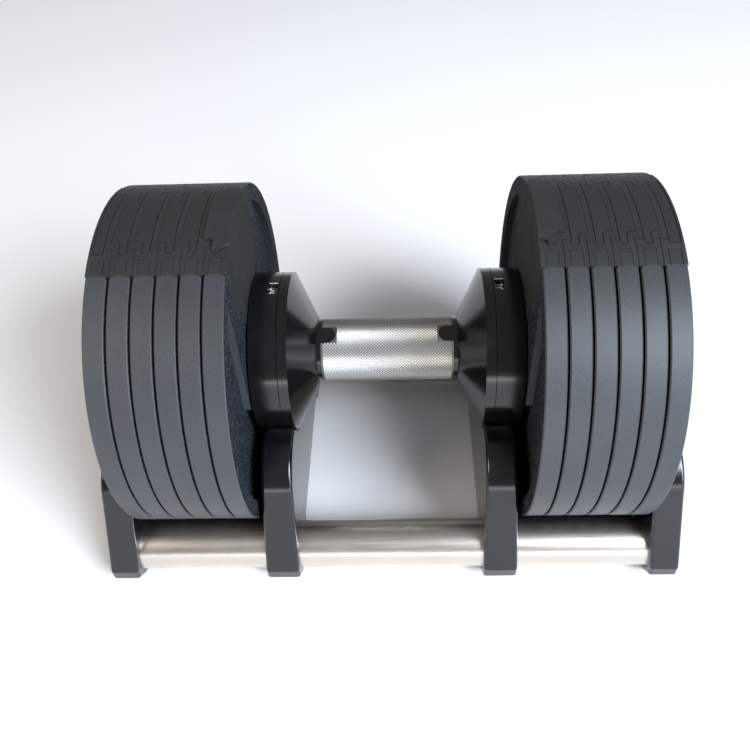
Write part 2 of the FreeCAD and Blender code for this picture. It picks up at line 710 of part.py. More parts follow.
def grip_sleeve():
    """The knurled tube under the hand, notched twice at each end for the dials' dogs."""
    wall = cylinder("grip_wall", "X", s.grip_radius, -s.grip_half, s.grip_half)
    bore = cylinder("grip_bore", "X", s.cam_outer + s.fit_play, -s.grip_half - 1, s.grip_half + 1)
    def notch(name):
        return notch_shape(name, 0, s.cam_outer - 2, s.grip_radius + 1)
    right = around("grip_notch", notch, 2, NOTCH_ANGLE)
    left = mirrored("grip_notch_left", right)
    return {"grip_sleeve": move(cut("grip_sleeve", wall, bore, right, left), 0, 0, s.axis_height)}


def dial():
    """The selector dial: cone, outer band, hub with dimples, notched lock ring and two dogs."""
    bore = s.cam_outer + s.fit_play
    neck_start = s.grip_half + s.housing_back
    band_inside = s.dial_radius - s.dial_band
    turned_body = revolved("dial_turned", [
        (neck_start, bore),
        (neck_start, s.neck_radius),
        (s.dial_cone_start, s.neck_radius),
        (s.dial_cone_start, s.neck_radius + s.rim_chamfer),
        (s.dial_cone_end, s.dial_radius),
        (s.dial_end, s.dial_radius),
        (s.dial_end, band_inside),
        (s.dial_web_end, band_inside),
        (s.dial_web_end, s.ring_outer),
        (s.ring_end, s.ring_outer),
        (s.ring_end, s.ring_inner),
        (s.dial_web_end, s.ring_inner),
        (s.dial_web_end, s.hub_outer),
        (s.hub_end, s.hub_outer),
        (s.hub_end, bore),
    ])
    def dog(name):
        return notch_shape(name, s.notch_play, bore + s.fit_play, s.grip_radius + 1)
    dogs = common("dial_dogs", around("dial_dog", dog, 2, NOTCH_ANGLE),
                  cylinder("dog_envelope", "X", s.grip_radius - s.fit_play, 0, s.grip_half + 1))
    def ring_slot(name):
        half = s.ring_notch_width / 2
        return box(name, (s.dial_web_end, s.ring_end + 1), (-half, half),
                   (-s.ring_inner - s.ring_notch, 2 - s.ring_inner))
    def dimple(name):
        return cylinder(name, "Z", s.detent_bore * 0.75, s.hub_outer - 1.5, s.hub_outer + 1,
                        s.detent_place, 0)
    return cut("dial_right", fuse("dial_body", turned_body, dogs),
               around("ring_slot", ring_slot, SETTINGS_PER_TURN),
               around("hub_dimple", dimple, SETTINGS_PER_TURN))


def number_ring():
    band = cylinder("number_band", "X", s.number_outer, s.number_start, s.number_end)
    hole = cylinder("number_hole", "X", s.ring_outer + s.fit_play, s.number_start - 1, s.number_end + 1)
    return cut("number_ring_right", band, hole)


def cam_slot():
    """The helical cutter that follows the right-hand pin as the grip turns."""
    frame = FreeCAD.Placement(
        FreeCAD.Vector(PIN_RETRACTED.number, 0, 0),
        FreeCAD.Rotation(FreeCAD.Vector(0, 0, 1), FreeCAD.Vector(0, -1, 0), FreeCAD.Vector(1, 0, 0), "XYZ"))
    middle = (s.cam_outer + s.cam_inner) / 2
    path = doc.addObject("Part::Helix", "cam_path")
    bind(path, "Pitch", s.helix_lead)
    bind(path, "Height", s.rod_travel)
    bind(path, "Radius", middle)
    path.Placement = frame
    bind(path, "Placement.Base.x", PIN_RETRACTED)
    slope = math.atan2(s.helix_lead.number, 2 * math.pi * middle.number)
    radial = FreeCAD.Vector(1, 0, 0)
    across = FreeCAD.Vector(0, -math.sin(slope), math.cos(slope))
    corner = radial * (s.cam_inner.number - 1) - across * PIN_SLOT.number
    section = doc.addObject("Part::Plane", "cam_section")
    bind(section, "Length", s.cam_outer - s.cam_inner + 2)
    bind(section, "Width", PIN_SLOT * 2)
    section.Placement = frame.multiply(
        FreeCAD.Placement(corner, FreeCAD.Rotation(radial, across, radial.cross(across), "XYZ")))
    groove = doc.addObject("Part::Sweep", "cam_groove")
    groove.Sections = [section]
    groove.Spine = (path, ["Edge1"])
    groove.Solid = True
    groove.Frenet = True
    low, high = s.cam_inner - 1, s.cam_outer + 1
    start = cylinder("cam_slot_start", "Y", PIN_SLOT, low, high, s.pin_place, 0)
    end = cylinder("cam_slot_end", "Z", PIN_SLOT, low, high, PIN_RETRACTED, 0)
    return fuse("cam_slot_right", groove, start, end)


def cam_tube():
    """The turning tube whose two helical slots draw the selector rods in and out."""
    wall = cylinder("cam_wall", "X", s.cam_outer, -s.cam_half, s.cam_half)
    bore = cylinder("cam_bore", "X", s.cam_inner, -s.cam_half - 1, s.cam_half + 1)
    right = cam_slot()
    left = turned("cam_slot_left", mirrored("cam_slot_mirror", right), ALONG_DUMBBELL, 180)
    return {"cam_tube": move(cut("cam_tube", wall, bore, right, left), 0, 0, s.axis_height)}


# ---------------------------------------------------------------- selector rods

def selector_rods():
    """Two rods with half round tails that pass beside each other in the core tube."""
    bar = revolved("rod_bar", [
        (s.rod_tail_start, 0),
        (s.rod_tail_start, s.rod_radius),
        (s.rod_end - s.rim_chamfer, s.rod_radius),
        (s.rod_end, s.rod_radius - s.rim_chamfer),
        (s.rod_end, 0),
    ])
    flat = box("rod_flat", (s.rod_tail_start - 1, s.rod_round_start),
               (-s.rod_radius - 1, s.flange_gap), (-s.rod_radius - 1, s.rod_radius + 1))
    hole = cylinder("rod_pin_hole", "Y", s.pin_radius, 1, s.rod_radius + 1, s.pin_place, 0)
    rod = move(cut("selector_rod_right", bar, flat, hole), 0, 0, s.axis_height)
    pin = cylinder("follower_pin_right", "Y", s.pin_radius, 1, s.pin_reach, s.pin_place, s.axis_height)
    return {
        "selector_rod_right": rod,
        "selector_rod_left": turned("selector_rod_left", rod, UPRIGHT, 180),
        "follower_pin_right": pin,
        "follower_pin_left": turned("follower_pin_left", pin, UPRIGHT, 180),
    }


# ---------------------------------------------------------------- cradle lock and detent

def coil(name, x, low, high, radius, turns):
    """A small compression spring standing upright between two heights over the axis."""
    reach = size(high) - low - s.spring_wire * 2
    path = doc.addObject("Part::Helix", f"{name}_path")
    bind(path, "Height", reach)
    bind(path, "Pitch", reach / turns)
    bind(path, "Radius", radius)
    move(path, x, 0, size(low) + s.spring_wire)
    wire = doc.addObject("Part::Circle", f"{name}_wire")
    bind(wire, "Radius", s.spring_wire)
    wire.Placement = FreeCAD.Placement(FreeCAD.Vector(), TURN_TO["Y"])
    move(wire, size(x) + radius, 0, size(low) + s.spring_wire)
    spring = doc.addObject("Part::Sweep", name)
    spring.Sections = [wire]
    spring.Spine = (path, ["Edge1"])
    spring.Solid = True
    spring.Frenet = True
    return spring


def lock_pawl():
    """The latch that the cradle lifts: its tooth enters the lock ring when the handle rises."""
    half, tooth_half = s.pawl_width / 2, s.pawl_tooth_width / 2
    stem = box("pawl_stem", (s.pawl_start, s.pawl_end), (-half, half), (-s.pawl_foot, -s.pawl_top))
    tooth = box("pawl_tooth", (s.pawl_tooth_start, s.pawl_end), (-tooth_half, tooth_half),
                (-s.pawl_tooth_bottom, -s.pawl_tooth_top))
    return fuse("lock_pawl_right", stem, tooth)


def pawl_spring():
    place = (s.pawl_start + s.pawl_end) / 2
    return coil("pawl_spring_right", place, -s.pawl_top, -s.core_outer - s.flange_gap,
                s.pawl_width / 2 - 2.8, 6)


def detent_plunger():
    tip = s.hub_outer + s.detent_lift
    shoulder = tip + s.detent_radius * 0.65
    point = doc.addObject("Part::Cone", "detent_point")
    bind(point, "Radius1", s.detent_radius * 0.4)
    bind(point, "Radius2", s.detent_radius)
    bind(point, "Height", shoulder - tip)
    move(point, s.detent_place, 0, tip)
    shank = cylinder("detent_shank", "Z", s.detent_radius, shoulder, s.detent_top, s.detent_place, 0)
    return fuse("detent_plunger_right", point, shank)


def detent_spring():
    return coil("detent_spring_right", s.detent_place, s.detent_top + s.fit_play, s.barrel_roof,
                s.detent_radius - 1, 3)


# ---------------------------------------------------------------- cradle

def side_outline():
    """A cradle side in Y and Z: two feet, rounded tube covers, sloped fronts and a saddle."""
    saddle = s.dial_radius + s.saddle_play
    saddle_height = s.axis_height - root(saddle * saddle - s.saddle_half * s.saddle_half)
    return both_halves([
        (s.arch_half, s.arch_height),
        (s.arch_foot, s.side_bottom),
        (s.tube_place + s.toe_reach, s.side_bottom),
        (s.tube_place + s.tube_cover - 1, s.tube_height - s.facet_drop),
        (s.tube_place + s.tube_cover, s.tube_height),
        (s.shoulder_y, s.shoulder_z, s.horn_round),
        (s.horn_y, s.horn_z),
        (s.saddle_half, saddle_height, -saddle),
    ], 0)


LEAN_TOP = s.axis_height
UPRIGHT_FACE = (s.upright_end, s.upright_end - s.upright_draft * LEAN_TOP)
BRACKET_INNER_FACE = (s.bracket_start, s.bracket_start - s.bracket_lean * LEAN_TOP)
BRACKET_OUTER_FACE = (s.bracket_end, s.bracket_end - s.bracket_lean * LEAN_TOP)


def trim(body, name, face, beyond):
    """Cuts a body off at a leaning face, given by its X at the floor and at the axis height."""
    drawing = new_sketch(body, f"{name}_line", "XZ_Plane")
    draw(drawing, [(face[0], -1), (beyond, -1), (beyond, LEAN_TOP), (face[1], LEAN_TOP)])
    pocket = body.newObject("PartDesign::Pocket", f"{name}_pocket")
    pocket.Profile = drawing
    pocket.Type = "ThroughAll"
    pocket.Midplane = True
    return pocket


def rounded(body, name, last):
    """Rounds all the edges of a side plate."""
    doc.recompute()
    rounding = body.newObject("PartDesign::Fillet", f"{name}_rounding")
    rounding.Base = (last, [""])
    rounding.UseAllEdges = True
    bind(rounding, "Radius", s.side_round)
    return body


def tube_holes(name, low, high, radius):
    return [cylinder(f"{name}_{side}", "X", radius, low, high, s.tube_place * side, s.tube_height)
            for side in (-1, 1)]


def foot_discs(name, x, radius, top):
    return [cylinder(f"{name}_{side}", "Z", radius, 0, top, x, s.foot_place * side)
            for side in (-1, 1)]


FOOT_TOP = s.side_bottom + s.foot_recess
UPRIGHT_MIDDLE = (s.upright_start + s.upright_end) / 2
BRACKET_MIDDLE = (s.bracket_start + s.bracket_end) / 2
SCREW_TOP = s.bracket_end - s.screw_inset


def inner_upright():
    """The saddle under an end housing; both tubes run through it."""
    slab = new_body("upright_slab")
    pad_along_x(slab, "upright", side_outline(), s.upright_start, s.upright_end)
    body = rounded(slab, "upright", trim(slab, "upright_outside", UPRIGHT_FACE, s.upright_end + 5))
    holes = tube_holes("upright_hole", s.upright_start - 1, s.upright_end + 1, s.tube_radius + s.fit_play)
    feet = foot_discs("upright_foot_seat", UPRIGHT_MIDDLE, s.foot_radius + s.fit_play, FOOT_TOP)
    half = s.pawl_width / 2 + 1
    pocket = box("pawl_pocket", (s.pawl_start - 1, s.pawl_end + 1), (-half, half),
                 (s.axis_height - s.pawl_foot - s.flange_gap, s.axis_height - s.ring_outer))
    return cut("inner_upright_right", body, pocket, *holes, *feet)


def outer_bracket():
    """The end bracket; each tube sits in a blind socket and is held by a screw."""
    slab = new_body("bracket_slab")
    pad_along_x(slab, "bracket", side_outline(), BRACKET_INNER_FACE[1], s.bracket_end)
    trim(slab, "bracket_inside", BRACKET_INNER_FACE, BRACKET_INNER_FACE[1] - 5)
    body = rounded(slab, "bracket", trim(slab, "bracket_outside", BRACKET_OUTER_FACE,
                                         s.bracket_end + 5))
    socket_end = s.bracket_start + s.socket_depth
    sockets = tube_holes("tube_socket", BRACKET_INNER_FACE[1] - 1, socket_end,
                         s.tube_radius + s.fit_play)
    holes = tube_holes("bracket_screw_hole", socket_end - 1, s.bracket_end, s.screw_radius + s.fit_play)
    heads = tube_holes("screw_recess", SCREW_TOP - s.screw_head_height, s.bracket_end + 1,
                       s.screw_head_radius + s.pawl_play)
    feet = foot_discs("bracket_foot_seat", BRACKET_MIDDLE, s.foot_radius + s.fit_play, FOOT_TOP)
    return cut("outer_bracket_right", body, *sockets, *holes, *heads, *feet)


def cradle_tube(name, side):
    """A polished tube with closed, tapped ends."""
    half = s.bracket_start + s.socket_depth
    y = s.tube_place * side
    wall = cylinder(f"{name}_wall", "X", s.tube_radius, -half, half, y, s.tube_height)
    bore = cylinder(f"{name}_bore", "X", s.tube_radius - s.tube_wall, s.tube_plug - half,
                    half - s.tube_plug, y, s.tube_height)
    screws = cylinder(f"{name}_screw", "X", s.screw_radius, -half - 1, half + 1, y, s.tube_height)
    return cut(name, wall, bore, screws)


def tube_screws():
    """Four screws through the brackets into the ends of the tubes."""
    screws = []
    for side in (-1, 1):
        y = s.tube_place * side
        head = cylinder(f"tube_screw_cap_{side}", "X", s.screw_head_radius,
                        SCREW_TOP - s.screw_head_height, SCREW_TOP, y, s.tube_height)
        shank = cylinder(f"tube_screw_shank_{side}", "X", s.screw_radius,
                         s.bracket_start + s.socket_depth - s.tube_plug + 1,
                         SCREW_TOP - 1, y, s.tube_height)
        screws.append(fuse(f"tube_screw_{side}", head, shank))
    right = doc.addObject("Part::Compound", "tube_screws_right")
    right.Links = screws
    both = doc.addObject("Part::Compound", "tube_screws")
    both.Links = [right, mirrored("tube_screws_left", right)]
    return {"tube_screws": both}


def rubber_feet():
    """Eight round pads let into the undersides of the four side plates."""
    right = doc.addObject("Part::Compound", "rubber_feet_right")
    right.Links = (foot_discs("upright_foot", UPRIGHT_MIDDLE, s.foot_radius, FOOT_TOP)
                   + foot_discs("bracket_foot", BRACKET_MIDDLE, s.foot_radius, FOOT_TOP))
    both = doc.addObject("Part::Compound", "rubber_feet")
    both.Links = [right, mirrored("rubber_feet_left", right)]
    return {"rubber_feet": both}


def tray_outline(bed):
    """A tray's section in Y and Z: flat underside and a bed round the plates."""
    edge = s.axis_height - root(bed * bed - s.tray_half * s.tray_half)
    return both_halves([(s.tray_half, s.tray_bottom), (s.tray_half, edge, -bed)], 0)


def plate_tray():
    """The bed under one stack of plates, with a rib between each two plates."""
    body = new_body("plate_tray_right")
    bed = s.rim_radius + s.saddle_play
    pad_along_x(body, "tray_bed", tray_outline(bed), UPRIGHT_FACE[1], s.bracket_start)
    for index in range(1, PLATES_PER_SIDE):
        middle = s.stack_start + s.plate_pitch * index
        pad_along_x(body, f"tray_rib_{index}", tray_outline(bed - s.tray_rib_height),
                    middle - s.tray_rib / 2, middle + s.tray_rib / 2)
    trim(body, "tray_inside", UPRIGHT_FACE, UPRIGHT_FACE[1] - 5)
    trim(body, "tray_outside", BRACKET_INNER_FACE, s.bracket_start + 5)
    return body


def cradle():
    pieces = {
        "front_tube": cradle_tube("front_tube", -1),
        "rear_tube": cradle_tube("rear_tube", 1),
    }
    makers = {"inner_upright": inner_upright, "outer_bracket": outer_bracket, "plate_tray": plate_tray}
    for name, make in makers.items():
        right = make()
        pieces[f"{name}_right"] = right
        pieces[f"{name}_left"] = mirrored(f"{name}_left", right)
    return {**pieces, **tube_screws(), **rubber_feet()}


# ---------------------------------------------------------------- the whole object

subparts = {
    **cradle(),
    **weight_plates(),
    **pair("end_housing", housing()),
    **pair("end_key", end_key()),
    **key_screws(),
    **core_tube(),
    **grip_sleeve(),
    **cam_tube(),
    **pair("dial", dial()),
    **pair("number_ring", number_ring()),
    **selector_rods(),
    **pair("lock_pawl", lock_pawl()),
    **pair("pawl_spring", pawl_spring()),
    **pair("detent_plunger", detent_plunger()),
    **pair("detent_spring", detent_spring()),
}
doc.recompute()

failed = [thing.Name for thing in doc.Objects if {"Invalid", "Error"} & set(thing.State)]
if failed:
    raise RuntimeError(f"features that failed: {failed}")

os.makedirs("parts", exist_ok=True)
for label, piece in subparts.items():
    piece.Label = label
    if piece.Shape.isNull() or not piece.Shape.isValid():
        raise RuntimeError(f"{label} has no valid shape")

for label, piece in subparts.items():
    piece.Shape.exportStep(f"parts/{label}.step")
    print(label, len(piece.Shape.Solids), "solid(s),", round(piece.Shape.Volume / 1000, 2), "cm3")
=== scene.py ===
# %% [markdown]
# # An adjustable dumbbell in its cradle
# The dumbbell is a knurled grip between two stacks of six cast plates, parked in a black cradle
# with two steel tubes. Turning the grip winds a selector rod into each stack.
# The CAD model already has every size and every joint. Here it is the frame: we keep its places,
# soften its edges as a foundry and a mould would, cut the knurl, print the scale and give each
# finish its own material.

# %% Load the frame
import json
import math

import bmesh
import bpy
from mathutils import Matrix, Vector


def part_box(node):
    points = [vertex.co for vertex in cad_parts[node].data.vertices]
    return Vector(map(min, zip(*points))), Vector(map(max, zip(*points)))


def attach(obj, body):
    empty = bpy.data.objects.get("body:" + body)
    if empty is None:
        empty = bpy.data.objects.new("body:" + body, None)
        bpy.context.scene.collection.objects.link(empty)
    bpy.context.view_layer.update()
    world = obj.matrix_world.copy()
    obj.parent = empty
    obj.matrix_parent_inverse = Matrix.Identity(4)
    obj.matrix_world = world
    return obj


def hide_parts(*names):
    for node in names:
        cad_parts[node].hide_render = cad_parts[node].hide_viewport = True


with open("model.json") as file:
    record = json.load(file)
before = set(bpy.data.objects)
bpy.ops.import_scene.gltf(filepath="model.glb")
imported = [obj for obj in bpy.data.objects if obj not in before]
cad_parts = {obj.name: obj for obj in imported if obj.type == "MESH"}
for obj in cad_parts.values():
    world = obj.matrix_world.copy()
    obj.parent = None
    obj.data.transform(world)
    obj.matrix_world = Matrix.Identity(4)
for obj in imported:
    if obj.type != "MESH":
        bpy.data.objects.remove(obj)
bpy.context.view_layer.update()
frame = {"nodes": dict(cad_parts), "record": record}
MM = 0.001

# %% [markdown]
# ## The viewpoint
# The camera stands a little over half a metre in front of the cradle and looks steeply down on it.
# It is built from an aim point, a distance and three angles, so each can be changed alone.
# A camera's local axes are right, up and back, and those three are the columns of its matrix.

# %% Camera
AIM = Vector((-0.00937, 0.0, 0.09714))
DISTANCE = 0.55106
YAW, ELEVATION, ROLL = math.radians(3.066), math.radians(46.2), math.radians(-3.141)
LENS = 38.44

back = Vector((math.sin(YAW) * math.cos(ELEVATION), -math.cos(YAW) * math.cos(ELEVATION),
               math.sin(ELEVATION)))
level = Vector((math.cos(YAW), math.sin(YAW), 0))
lean = back.cross(level)
right = math.cos(ROLL) * level + math.sin(ROLL) * lean
up = math.cos(ROLL) * lean - math.sin(ROLL) * level
eye = bpy.data.objects.new("camera", bpy.data.cameras.new("camera"))
bpy.context.scene.collection.objects.link(eye)
turn = Matrix((right, up, back)).transposed()
eye.matrix_world = Matrix.Translation(AIM + back * DISTANCE) @ turn.to_4x4()
eye.data.lens = LENS
eye.data.sensor_width = 36
bpy.context.scene.camera = eye
print("camera at", [round(value, 4) for value in eye.matrix_world.translation])

# %% [markdown]
# ## Colour and nodes
# Colours are written as the hex codes that a screen shows, and a renderer works in linear light,
# so one function turns one into the other. Another adds a node with its settings and its links.
# The last two serve parts whose flat faces are duller than their rims.

# %% Helpers for every material
def linear(code):
    """An sRGB hex colour as linear RGBA."""
    parts = [int(code[at:at + 2], 16) / 255 for at in (1, 3, 5)]
    return [part / 12.92 if part <= 0.04045 else ((part + 0.055) / 1.055) ** 2.4
            for part in parts] + [1.0]


def add(tree, kind, settings=None, links=None):
    """Adds a node; settings are its properties or its inputs, links lead sockets to its inputs."""
    node = tree.nodes.new(kind)
    for name, value in (settings or {}).items():
        if isinstance(name, str) and hasattr(node, name) and name != "color":
            setattr(node, name, value)
        else:
            node.inputs[name].default_value = value
    for name, socket in (links or {}).items():
        tree.links.new(socket, node.inputs[name])
    return node


def blank_material(name):
    """A new material's tree, its shader and the object's own coordinates."""
    material = bpy.data.materials.new(name)
    material.use_nodes = True
    tree = material.node_tree
    tree.nodes.clear()
    shader = add(tree, "ShaderNodeBsdfPrincipled")
    add(tree, "ShaderNodeOutputMaterial", links={"Surface": shader.outputs["BSDF"]})
    place = add(tree, "ShaderNodeTexCoord").outputs["Object"]
    return material, tree, shader, place


def per_metre(millimetres):
    """The scale of a pattern whose features are this far apart."""
    return 1 / (millimetres * MM)


def facing_x(tree):
    """A socket that is 1 on faces that look along X and 0 on the rims."""
    normal = add(tree, "ShaderNodeTexCoord").outputs["Normal"]
    apart = add(tree, "ShaderNodeSeparateXYZ", links={"Vector": normal})
    along = add(tree, "ShaderNodeMath", {"operation": "ABSOLUTE"}, {0: apart.outputs["X"]})
    return add(tree, "ShaderNodeMapRange", {"From Min": 0.75, "From Max": 0.98},
               {"Value": along.outputs[0]}).outputs["Result"]


def dull_faces(tree, shader, faces, roughness):
    """Takes the gloss off where faces is 1; the roughness socket rules elsewhere."""
    dull = add(tree, "ShaderNodeMix", {"data_type": "FLOAT", 3: 0.85}, {0: faces, 2: roughness})
    tree.links.new(dull.outputs[0], shader.inputs["Roughness"])
    gleam = add(tree, "ShaderNodeMapRange", {"To Min": 0.5, "To Max": 0.12}, {"Value": faces})
    tree.links.new(gleam.outputs["Result"], shader.inputs["Specular IOR Level"])


print("linear mid grey:", round(linear("#808080")[0], 4))

# %% [markdown]
# ## Floor and light
# A small product like this is lit by a tall window on the right and its pale sill, a warm
# bounce from the left and a low strip in front that the tubes pick up. Polished metal and gloss
# plastic show the light itself, so the boxes are wide and even. The floor is pale and plain.

# %% Floor, sky and lights
def soft_box(name, spot, aim, width, height, watts, colour):
    """A rectangular area light at spot that faces aim."""
    lamp = bpy.data.lights.new(name, "AREA")
    lamp.shape = "RECTANGLE"
    lamp.size, lamp.size_y = width, height
    lamp.energy = watts
    lamp.color = linear(colour)[:3]
    holder = bpy.data.objects.new(name, lamp)
    bpy.context.scene.collection.objects.link(holder)
    facing = (Vector(aim) - Vector(spot)).to_track_quat("-Z", "Y")
    holder.matrix_world = Matrix.Translation(spot) @ facing.to_matrix().to_4x4()
    return holder


floor_mesh = bpy.data.meshes.new("floor")
floor_mesh.from_pydata([(-6, -6, 0), (6, -6, 0), (6, 6, 0), (-6, 6, 0)], [], [(0, 1, 2, 3)])
floor = bpy.data.objects.new("floor", floor_mesh)
bpy.context.scene.collection.objects.link(floor)
pale, pale_tree, pale_shader, pale_place = blank_material("pale_floor")
haze = add(pale_tree, "ShaderNodeTexNoise", {"Scale": 2.0, "Detail": 2.0}, {"Vector": pale_place})
tone = add(pale_tree, "ShaderNodeValToRGB", links={"Fac": haze.outputs["Fac"]})
tone.color_ramp.elements[0].color = linear("#f4f4f4")
tone.color_ramp.elements[1].color = linear("#fafafa")
pale_tree.links.new(tone.outputs["Color"], pale_shader.inputs["Base Color"])
pale_shader.inputs["Roughness"].default_value = 0.9
floor_mesh.materials.append(pale)

sky = bpy.data.worlds.new("studio")
bpy.context.scene.world = sky
sky.use_nodes = True
sky.node_tree.nodes.clear()
glow = add(sky.node_tree, "ShaderNodeBackground", {"Color": linear("#f7f9fc"), "Strength": 0.3})
add(sky.node_tree, "ShaderNodeOutputWorld", links={"Surface": glow.outputs["Background"]})

CENTRE = (0, 0, 0.1)
soft_box("window_right", (1.5, -1.5, 1.7), CENTRE, 1.3, 1.3, 125, "#e6eefa")
soft_box("sill_right", (1.3, -1.1, 0.45), CENTRE, 0.9, 0.4, 16, "#c3d8f0")
soft_box("bounce_left", (-1.5, -1.0, 1.3), CENTRE, 0.9, 0.9, 20, "#fff3e6")
soft_box("low_strip", (0.1, -1.7, 0.1), (0, 0, 0.05), 1.8, 0.14, 4, "#ffffff")
bpy.context.scene.view_settings.view_transform = "Standard"

# %% [markdown]
# ## Coated castings
# The plates are grey iron, cast in sand and coated with a thin dark textured enamel. The coat
# has a fine stipple that breaks every highlight, and it stays thin enough on the broad faces
# for the sand's coarse grain to show through as speckle. Two bumps do that: one fine everywhere,
# one coarse on the faces only. The faces look along X, so the normal's X is the mask.
# The same mask darkens the faces, which is painted shade.
# Where the rails are let into the top, the rims are darkened to the rails' tone as painted
# shade.

# %% Material for the castings
cast_coat, tree, shader, place = blank_material("textured_enamel_on_cast_iron")
stipple = add(tree, "ShaderNodeTexNoise", {"Scale": per_metre(0.9), "Detail": 3.0,
                                           "Roughness": 0.6}, {"Vector": place})
sand = add(tree, "ShaderNodeTexVoronoi", {"Scale": per_metre(1.8), "feature": "SMOOTH_F1",
                                          "Smoothness": 0.6}, {"Vector": place})
on_face = facing_x(tree)
coarse = add(tree, "ShaderNodeBump", {"Distance": 0.6 * MM},
             {"Height": sand.outputs["Distance"], "Strength": on_face})
fine = add(tree, "ShaderNodeBump", {"Strength": 0.5, "Distance": 0.12 * MM},
           {"Height": stipple.outputs["Fac"], "Normal": coarse.outputs["Normal"]})
patch = add(tree, "ShaderNodeTexNoise", {"Scale": per_metre(35), "Detail": 2.0}, {"Vector": place})
coat_colour = add(tree, "ShaderNodeValToRGB", links={"Fac": patch.outputs["Fac"]})
coat_colour.color_ramp.elements[0].position = 0.3
coat_colour.color_ramp.elements[0].color = linear("#292b2d")
coat_colour.color_ramp.elements[1].position = 0.7
coat_colour.color_ramp.elements[1].color = linear("#313336")
fleck = add(tree, "ShaderNodeTexNoise", {"Scale": per_metre(1.3), "Detail": 1.0},
            {"Vector": place})
fleck_on = add(tree, "ShaderNodeMapRange", {"From Min": 0.58, "From Max": 0.66, "To Max": 0.5},
               {"Value": fleck.outputs["Fac"]})
fleck_face = add(tree, "ShaderNodeMath", {"operation": "MULTIPLY"},
                 {0: fleck_on.outputs["Result"], 1: on_face})
mottle = add(tree, "ShaderNodeMapRange", {"From Min": 0.35, "From Max": 0.65, "To Max": 0.45},
             {"Value": stipple.outputs["Fac"]})
grained = add(tree, "ShaderNodeMix", {"data_type": "RGBA", 7: linear("#3f4246")},
              {0: mottle.outputs["Result"], 6: coat_colour.outputs["Color"]})
# painted shade: the faces that look along X are darkened
shaded = add(tree, "ShaderNodeMix", {"data_type": "RGBA", 7: linear("#191b1e")},
             {0: on_face, 6: grained.outputs[2]})
mixed = add(tree, "ShaderNodeMix", {"data_type": "RGBA", 7: linear("#566070")},
            {0: fleck_face.outputs[0], 6: shaded.outputs[2]})
rail_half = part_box("rail_right_2")[1][1]
split = add(tree, "ShaderNodeSeparateXYZ", links={"Vector": place})
sideways = add(tree, "ShaderNodeMath", {"operation": "ABSOLUTE"}, {0: split.outputs["Y"]})
between = add(tree, "ShaderNodeMapRange", {
    "From Min": rail_half - 0.3 * MM, "From Max": rail_half + 0.3 * MM,
    "To Min": 1.0, "To Max": 0.0}, {"Value": sideways.outputs[0]})
grip_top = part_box("grip_sleeve")[1][2]
over_grip = add(tree, "ShaderNodeMath", {"operation": "GREATER_THAN", 1: grip_top},
                {0: split.outputs["Z"]})
rim_only = add(tree, "ShaderNodeMath", {"operation": "SUBTRACT", 0: 1.0},
               {1: on_face})
top_rim = add(tree, "ShaderNodeMath", {"operation": "MULTIPLY"},
              {0: between.outputs["Result"], 1: over_grip.outputs[0]})
top_rim_shade = add(tree, "ShaderNodeMath", {"operation": "MULTIPLY"},
              {0: top_rim.outputs[0], 1: rim_only.outputs[0]})
# painted shade: the top rims between the rails are darkened to the rails' tone
finished = add(tree, "ShaderNodeMix", {"data_type": "RGBA", 7: linear("#252625")},
               {0: top_rim_shade.outputs[0], 6: mixed.outputs[2]})
tree.links.new(finished.outputs[2], shader.inputs["Base Color"])
sheen = add(tree, "ShaderNodeMapRange", {"To Min": 0.42, "To Max": 0.56},
            {"Value": stipple.outputs["Fac"]})
dull_faces(tree, shader, on_face, sheen.outputs["Result"])
tree.links.new(fine.outputs["Normal"], shader.inputs["Normal"])
shader.inputs["IOR"].default_value = 1.5
print("castings:", len(tree.nodes), "nodes")

# %% [markdown]
# ## Moulded rails
# The dovetail rails and the slabs between them are glass filled nylon: a dark grey that is a bit
# paler than gloss plastic, with a satin skin, a faint flow mark here and there and a fine spark
# eroded grain from the mould.

# %% Material for the rails
rail_nylon, tree, shader, place = blank_material("moulded_glass_filled_nylon")
grain = add(tree, "ShaderNodeTexNoise", {"Scale": per_metre(0.5), "Detail": 2.0}, {"Vector": place})
flow = add(tree, "ShaderNodeTexNoise", {"Scale": per_metre(22), "Detail": 3.0, "Distortion": 0.6},
           {"Vector": place})
nylon_colour = add(tree, "ShaderNodeValToRGB", links={"Fac": flow.outputs["Fac"]})
nylon_colour.color_ramp.elements[0].position = 0.35
nylon_colour.color_ramp.elements[0].color = linear("#232423")
nylon_colour.color_ramp.elements[1].position = 0.65
nylon_colour.color_ramp.elements[1].color = linear("#292a29")
tree.links.new(nylon_colour.outputs["Color"], shader.inputs["Base Color"])
skin = add(tree, "ShaderNodeMapRange", {"To Min": 0.4, "To Max": 0.5},
           {"Value": flow.outputs["Fac"]})
dull_faces(tree, shader, facing_x(tree), skin.outputs["Result"])
dimple = add(tree, "ShaderNodeBump", {"Strength": 0.35, "Distance": 0.05 * MM},
             {"Height": grain.outputs["Fac"]})
tree.links.new(dimple.outputs["Normal"], shader.inputs["Normal"])
shader.inputs["IOR"].default_value = 1.53
print("rails:", len(tree.nodes), "nodes")

# %% [markdown]
# ## Gloss black plastic
# The dials, the housings and the cradle are moulded black ABS. The dials are polished in the
# mould and show soft stripes of the room. The cradle's broad panels shrink a little as they
# cool, which bends reflections gently. One function makes both, from three numbers.

